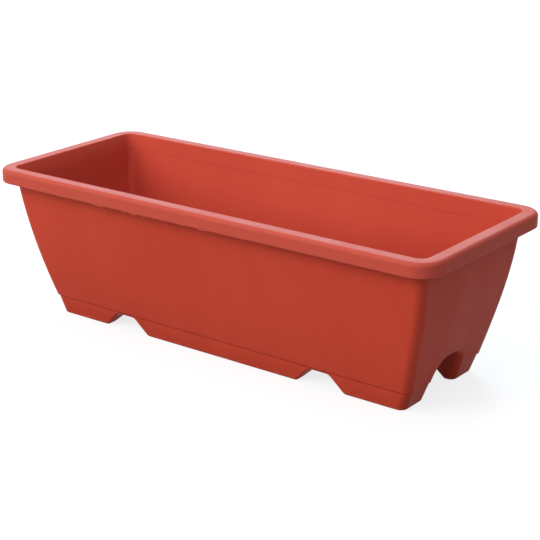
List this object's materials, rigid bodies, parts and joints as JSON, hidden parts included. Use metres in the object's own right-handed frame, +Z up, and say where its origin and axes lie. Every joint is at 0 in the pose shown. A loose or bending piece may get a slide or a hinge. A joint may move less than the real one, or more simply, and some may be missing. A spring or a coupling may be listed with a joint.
{
  "type": "window box planter",
  "caption": "Long moulded trough with a flat rolled rim, curved tapering walls, notched feet, arched end recesses with drain plugs and a lift-out drainage grid.",
  "frame": {"origin": "middle of the footprint, on the surface that the feet stand on", "axes": "+X along the box, +Y from the long face shown in the picture to the one behind, +Z up"},
  "size_m": [0.5, 0.194, 0.1515],
  "materials": {
    "terracotta_plastic": "satin moulded, terracotta",
    "grid_plastic": "matt moulded, terracotta",
    "plug_plastic": "matt moulded, dark terracotta"
  },
  "bodies": {
    "trough": {"trough": "terracotta_plastic"},
    "grid": {"drainage_grid": "grid_plastic"},
    "plug_left": {"drain_plug_left": "plug_plastic"},
    "plug_right": {"drain_plug_right": "plug_plastic"}
  },
  "joints": [
    {"name": "grid_lift", "type": "slide", "parent": "trough", "child": "grid", "axis": [0, 0, 1], "range_m": [0, 0.14]},
    {"name": "plug_left_pull", "type": "slide", "parent": "trough", "child": "plug_left", "axis": [-1, 0, 0], "range_m": [0, 0.012]},
    {"name": "plug_right_pull", "type": "slide", "parent": "trough", "child": "plug_right", "axis": [1, 0, 0], "range_m": [0, 0.012]}
  ]
}
